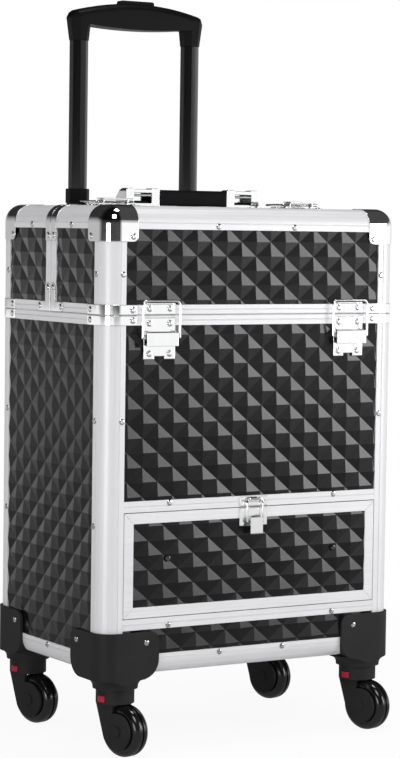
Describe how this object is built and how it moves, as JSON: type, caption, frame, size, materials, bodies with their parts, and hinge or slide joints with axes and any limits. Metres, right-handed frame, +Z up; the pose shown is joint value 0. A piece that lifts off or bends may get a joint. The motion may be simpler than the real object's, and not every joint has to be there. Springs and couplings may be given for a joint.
{
  "type": "rolling makeup case",
  "caption": "Aluminium-framed rolling cosmetics case with diamond-relief walls, front drawer, swing-out upper half with trays, pull handle and swivel casters.",
  "frame": {"origin": "on the floor under the middle of the case's plan", "axes": "+X to the right seen from the front, +Y to the back, +Z up"},
  "size_m": [0.3682, 0.2982, 0.7983],
  "materials": {
    "aluminium_frame": "satin anodised",
    "diamond_panel": "pressed diamond relief",
    "black_board": "black lined board",
    "rivet_steel": "plated",
    "chrome_trim": "bright plated",
    "zinc_steel": "zinc plated",
    "black_tube": "black gloss",
    "black_plastic": "fine grain",
    "caster_plastic": "moulded",
    "wheel_tread": "moulded tread",
    "red_plastic": "moulded"
  },
  "bodies": {
    "case_body": {"corner_posts": "aluminium_frame", "base_frame": "aluminium_frame", "body_rails": "aluminium_frame", "front_panel": "diamond_panel", "side_panels": "diamond_panel", "back_panel": "diamond_panel", "boards": "black_board", "body_rivets": "rivet_steel", "body_caps": "chrome_trim", "caster_brackets": "caster_plastic", "latch_plates": "chrome_trim", "drawer_runners": "zinc_steel", "arm_plates": "zinc_steel", "trolley_tubes": "black_tube", "trolley_mounts": "black_plastic", "rear_frame": "aluminium_frame", "rear_panels": "diamond_panel", "handle_housings": "chrome_trim"},
    "front_half": {"lid_frame": "aluminium_frame", "lid_panels": "diamond_panel", "lid_caps": "chrome_trim", "lid_rivets": "rivet_steel", "lid_plates": "chrome_trim", "lid_arm_plates": "zinc_steel"},
    "drawer": {"drawer_frame": "aluminium_frame", "drawer_panel": "diamond_panel", "drawer_box": "black_board", "drawer_slides": "zinc_steel", "drawer_plate": "chrome_trim"},
    "rear_arm_pair": {"rear_arms": "zinc_steel"},
    "front_arm_pair": {"front_arms": "zinc_steel"},
    "tray_low": {"lower_tray": "black_plastic"},
    "tray_high": {"upper_tray": "black_plastic"},
    "pull_handle": {"trolley_inner": "black_tube", "trolley_grip": "black_plastic"},
    "pull_button": {"trolley_button": "black_plastic"},
    "top_grip": {"carry_grip": "black_plastic"},
    "drawer_latch_lever": {"drawer_lever": "chrome_trim"},
    "drawer_latch_bail": {"drawer_bail": "chrome_trim"},
    "latch_lever_left": {"latch_lever_left": "chrome_trim"},
    "latch_bail_left": {"latch_bail_left": "chrome_trim"},
    "clasp_lever_left": {"clasp_lever_left": "chrome_trim"},
    "clasp_bail_left": {"clasp_bail_left": "chrome_trim"},
    "latch_lever_right": {"latch_lever_right": "chrome_trim"},
    "latch_bail_right": {"latch_bail_right": "chrome_trim"},
    "clasp_lever_right": {"clasp_lever_right": "chrome_trim"},
    "clasp_bail_right": {"clasp_bail_right": "chrome_trim"},
    "caster_fl": {"fork_fl": "caster_plastic"},
    "roller_fl": {"wheel_fl": "wheel_tread"},
    "release_fl": {"button_fl": "red_plastic"},
    "caster_fr": {"fork_fr": "caster_plastic"},
    "roller_fr": {"wheel_fr": "wheel_tread"},
    "release_fr": {"button_fr": "red_plastic"},
    "caster_bl": {"fork_bl": "caster_plastic"},
    "roller_bl": {"wheel_bl": "wheel_tread"},
    "release_bl": {"button_bl": "red_plastic"},
    "caster_br": {"fork_br": "caster_plastic"},
    "roller_br": {"wheel_br": "wheel_tread"},
    "release_br": {"button_br": "red_plastic"}
  },
  "joints": [
    {"name": "front_half_swing", "type": "hinge", "parent": "case_body", "child": "rear_arm_pair", "pos_m": [0, -0.0785, 0.464], "axis": [1, 0, 0], "range_deg": [0, 120]},
    {"name": "front_arm_follow", "type": "hinge", "parent": "case_body", "child": "front_arm_pair", "pos_m": [0, -0.1062, 0.48], "axis": [1, 0, 0], "range_deg": [0, 120]},
    {"name": "front_half_level", "type": "hinge", "parent": "rear_arm_pair", "child": "front_half", "pos_m": [0, -0.0068, 0.45773], "axis": [1, 0, 0], "range_deg": [-120, 0]},
    {"name": "low_tray_level", "type": "hinge", "parent": "rear_arm_pair", "child": "tray_low", "pos_m": [0, -0.0546, 0.46191], "axis": [1, 0, 0], "range_deg": [-120, 0]},
    {"name": "high_tray_level", "type": "hinge", "parent": "rear_arm_pair", "child": "tray_high", "pos_m": [0, -0.0307, 0.45982], "axis": [1, 0, 0], "range_deg": [-120, 0]},
    {"name": "latch_lever_left_turn", "type": "hinge", "parent": "case_body", "child": "latch_lever_left", "pos_m": [-0.117, -0.1235, 0.4365], "axis": [-1, 0, 0], "range_deg": [0, 105]},
    {"name": "latch_bail_left_swing", "type": "hinge", "parent": "latch_lever_left", "child": "latch_bail_left", "pos_m": [-0.117, -0.1235, 0.4315], "axis": [-1, 0, 0], "range_deg": [-165, 0]},
    {"name": "clasp_lever_left_turn", "type": "hinge", "parent": "front_half", "child": "clasp_lever_left", "pos_m": [-0.117, -0.018, 0.5705], "axis": [-1, 0, 0], "range_deg": [0, 105]},
    {"name": "clasp_bail_left_swing", "type": "hinge", "parent": "clasp_lever_left", "child": "clasp_bail_left", "pos_m": [-0.117, -0.023, 0.5705], "axis": [-1, 0, 0], "range_deg": [-165, 0]},
    {"name": "latch_lever_right_turn", "type": "hinge", "parent": "case_body", "child": "latch_lever_right", "pos_m": [0.117, -0.1235, 0.4365], "axis": [-1, 0, 0], "range_deg": [0, 105]},
    {"name": "latch_bail_right_swing", "type": "hinge", "parent": "latch_lever_right", "child": "latch_bail_right", "pos_m": [0.117, -0.1235, 0.4315], "axis": [-1, 0, 0], "range_deg": [-165, 0]},
    {"name": "clasp_lever_right_turn", "type": "hinge", "parent": "front_half", "child": "clasp_lever_right", "pos_m": [0.117, -0.018, 0.5705], "axis": [-1, 0, 0], "range_deg": [0, 105]},
    {"name": "clasp_bail_right_swing", "type": "hinge", "parent": "clasp_lever_right", "child": "clasp_bail_right", "pos_m": [0.117, -0.023, 0.5705], "axis": [-1, 0, 0], "range_deg": [-165, 0]},
    {"name": "drawer_slide", "type": "slide", "parent": "case_body", "child": "drawer", "axis": [0, -1, 0], "range_m": [0, 0.16]},
    {"name": "drawer_lever_turn", "type": "hinge", "parent": "drawer", "child": "drawer_latch_lever", "pos_m": [0, -0.1235, 0.2415], "axis": [-1, 0, 0], "range_deg": [0, 105]},
    {"name": "drawer_bail_swing", "type": "hinge", "parent": "drawer_latch_lever", "child": "drawer_latch_bail", "pos_m": [0, -0.1235, 0.237], "axis": [-1, 0, 0], "range_deg": [-165, 0]},
    {"name": "pull_handle_slide", "type": "slide", "parent": "case_body", "child": "pull_handle", "axis": [0, 0, 1], "range_m": [-0.16, 0.15]},
    {"name": "pull_button_press", "type": "slide", "parent": "pull_handle", "child": "pull_button", "axis": [0, 0, -1], "range_m": [0, 0.003], "stiffness_N_per_m": 400},
    {"name": "top_grip_lift", "type": "slide", "parent": "case_body", "child": "top_grip", "axis": [0, 0, 1], "range_m": [0, 0.01]},
    {"name": "swivel_fl", "type": "hinge", "parent": "case_body", "child": "caster_fl", "pos_m": [-0.152, -0.098, 0.06], "axis": [0, 0, 1], "continuous": true},
    {"name": "roll_fl", "type": "hinge", "parent": "caster_fl", "child": "roller_fl", "pos_m": [-0.14786, -0.11242, 0.027], "axis": [0.9613, 0.2756, 0], "continuous": true},
    {"name": "release_fl_press", "type": "slide", "parent": "caster_fl", "child": "release_fl", "axis": [0.9613, 0.2756, 0], "range_m": [0, 0.002], "stiffness_N_per_m": 300},
    {"name": "swivel_fr", "type": "hinge", "parent": "case_body", "child": "caster_fr", "pos_m": [0.152, -0.098, 0.06], "axis": [0, 0, 1], "continuous": true},
    {"name": "roll_fr", "type": "hinge", "parent": "caster_fr", "child": "roller_fr", "pos_m": [0.15613, -0.11242, 0.027], "axis": [0.9613, 0.2756, 0], "continuous": true},
    {"name": "release_fr_press", "type": "slide", "parent": "caster_fr", "child": "release_fr", "axis": [0.9613, 0.2756, 0], "range_m": [0, 0.002], "stiffness_N_per_m": 300},
    {"name": "swivel_bl", "type": "hinge", "parent": "case_body", "child": "caster_bl", "pos_m": [-0.152, 0.098, 0.06], "axis": [0, 0, 1], "continuous": true},
    {"name": "roll_bl", "type": "hinge", "parent": "caster_bl", "child": "roller_bl", "pos_m": [-0.14786, 0.08358, 0.027], "axis": [0.9613, 0.2756, 0], "continuous": true},
    {"name": "release_bl_press", "type": "slide", "parent": "caster_bl", "child": "release_bl", "axis": [0.9613, 0.2756, 0], "range_m": [0, 0.002], "stiffness_N_per_m": 300},
    {"name": "swivel_br", "type": "hinge", "parent": "case_body", "child": "caster_br", "pos_m": [0.152, 0.098, 0.06], "axis": [0, 0, 1], "continuous": true},
    {"name": "roll_br", "type": "hinge", "parent": "caster_br", "child": "roller_br", "pos_m": [0.15613, 0.08358, 0.027], "axis": [0.9613, 0.2756, 0], "continuous": true},
    {"name": "release_br_press", "type": "slide", "parent": "caster_br", "child": "release_br", "axis": [0.9613, 0.2756, 0], "range_m": [0, 0.002], "stiffness_N_per_m": 300}
  ],
  "couplings": [
    {"joint": "front_arm_follow", "follows": "front_half_swing", "ratio": 1},
    {"joint": "front_half_level", "follows": "front_half_swing", "ratio": -1},
    {"joint": "low_tray_level", "follows": "front_half_swing", "ratio": -1},
    {"joint": "high_tray_level", "follows": "front_half_swing", "ratio": -1},
    {"joint": "latch_bail_left_swing", "follows": "latch_lever_left_turn", "ratio": -1.1},
    {"joint": "clasp_bail_left_swing", "follows": "clasp_lever_left_turn", "ratio": -1.1},
    {"joint": "latch_bail_right_swing", "follows": "latch_lever_right_turn", "ratio": -1.1},
    {"joint": "clasp_bail_right_swing", "follows": "clasp_lever_right_turn", "ratio": -1.1},
    {"joint": "drawer_bail_swing", "follows": "drawer_lever_turn", "ratio": -1.1}
  ]
}
